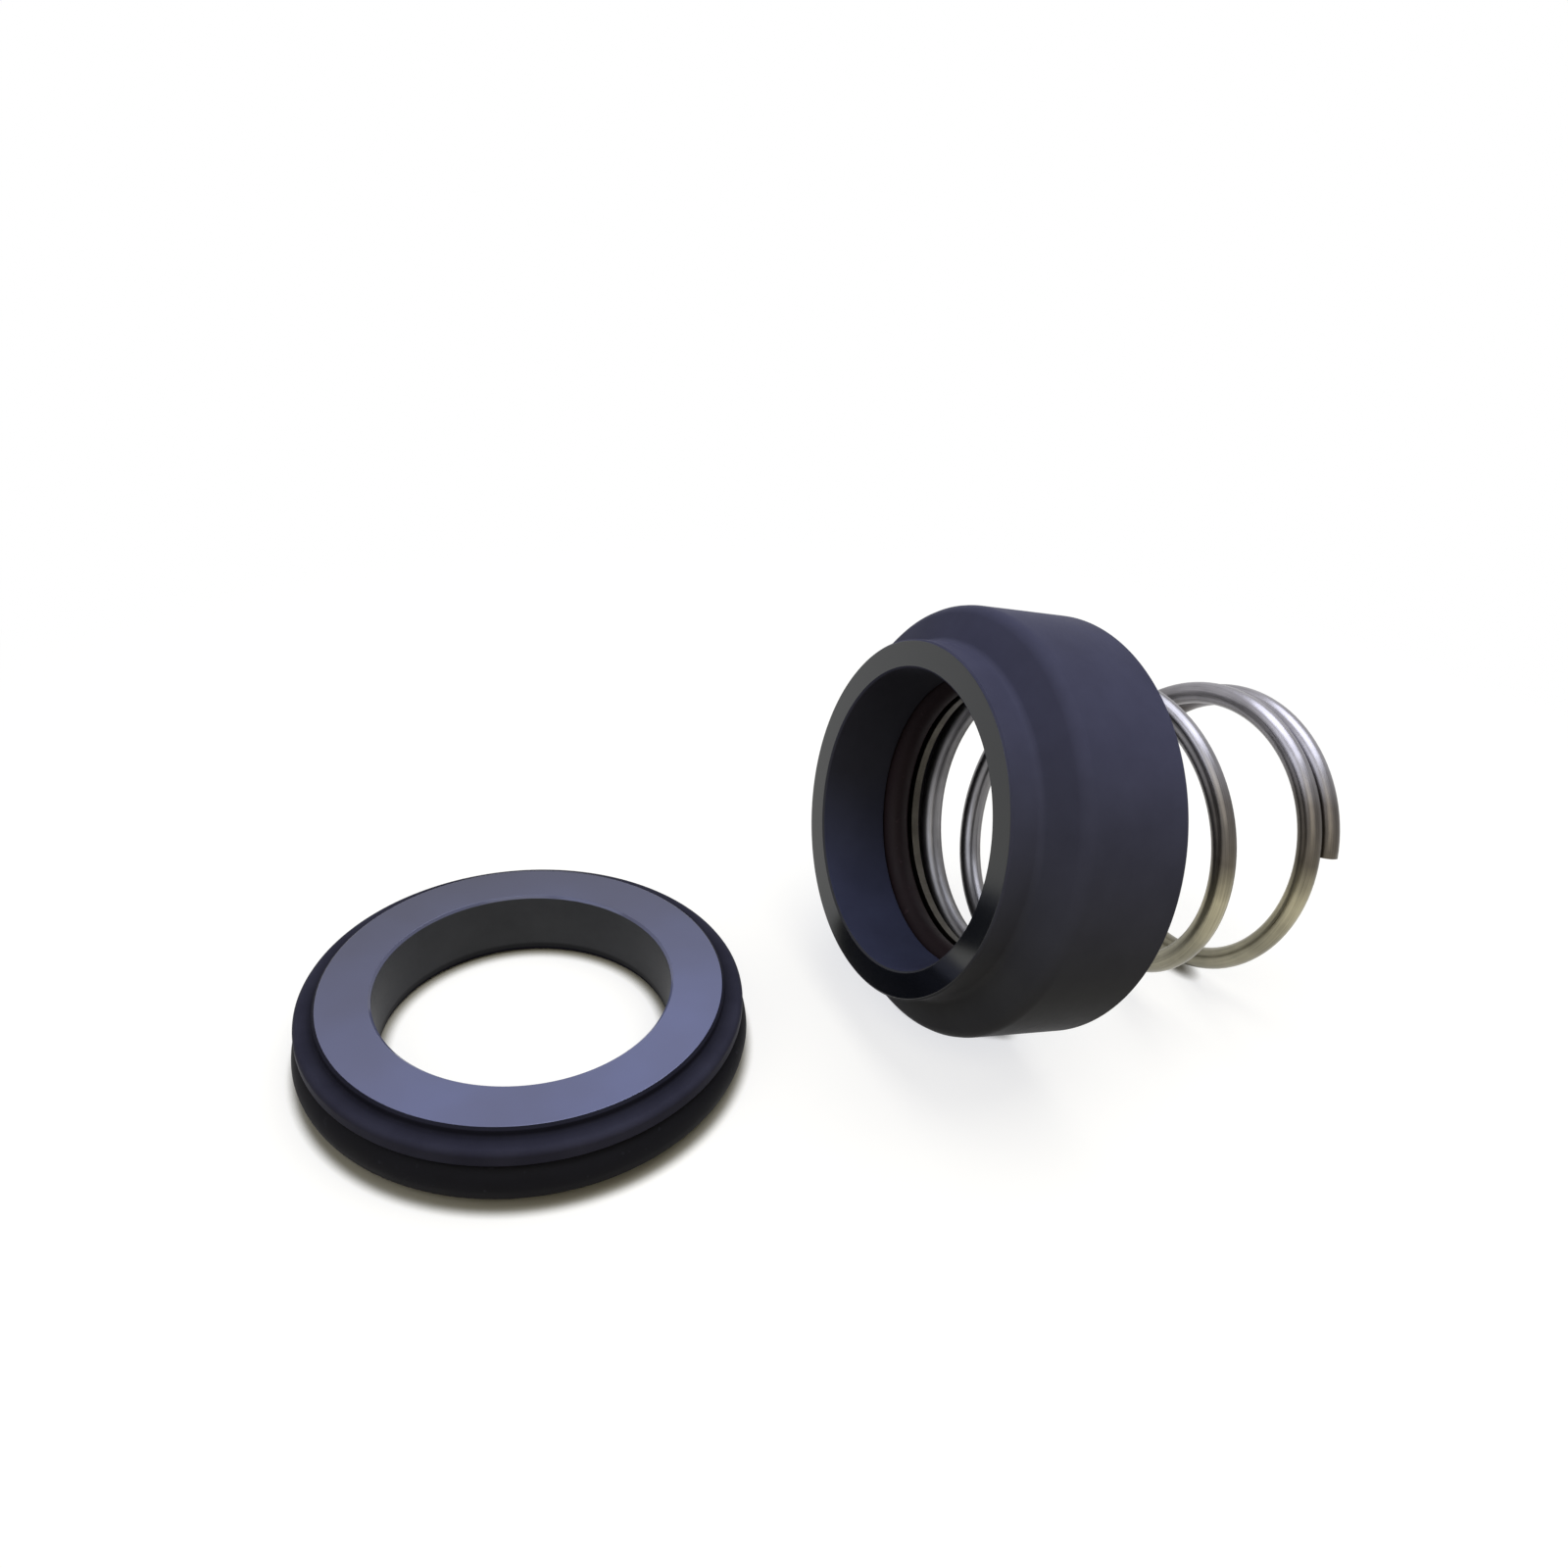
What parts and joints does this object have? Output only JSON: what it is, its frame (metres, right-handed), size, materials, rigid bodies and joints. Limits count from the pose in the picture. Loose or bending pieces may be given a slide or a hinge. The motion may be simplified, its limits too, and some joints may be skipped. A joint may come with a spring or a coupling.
{
  "type": "component mechanical seal",
  "caption": "Spring-loaded mechanical shaft seal: rotary face ring with O-ring and coil spring, beside its stationary seat with O-ring.",
  "frame": {"origin": "centre of the seat's back face, on the plane that both halves rest on", "axes": "+Z along the seat's axis towards its lapped face, +X towards the head's spring end"},
  "size_m": [0.0917, 0.046, 0.039],
  "materials": {
    "silicon_carbide": "ground and lapped silicon carbide, satin",
    "black_rubber": "matte black rubber",
    "brown_rubber": "matte dark red-brown rubber",
    "washer_steel": "stamped stainless steel",
    "spring_steel": "bright drawn stainless wire"
  },
  "bodies": {
    "laid_out_seal": {"seat_ring": "silicon_carbide", "seat_o_ring": "black_rubber", "rotary_ring": "silicon_carbide", "shaft_o_ring": "brown_rubber", "thrust_ring": "washer_steel"},
    "head_spring": {"spring": "spring_steel"}
  },
  "joints": [
    {"name": "spring_compression", "type": "slide", "parent": "laid_out_seal", "child": "head_spring", "axis": [-0.9786, 0, 0.2059], "range_m": [0, 0.0089], "stiffness_N_per_m": 6000, "deforming": ["spring"]}
  ]
}
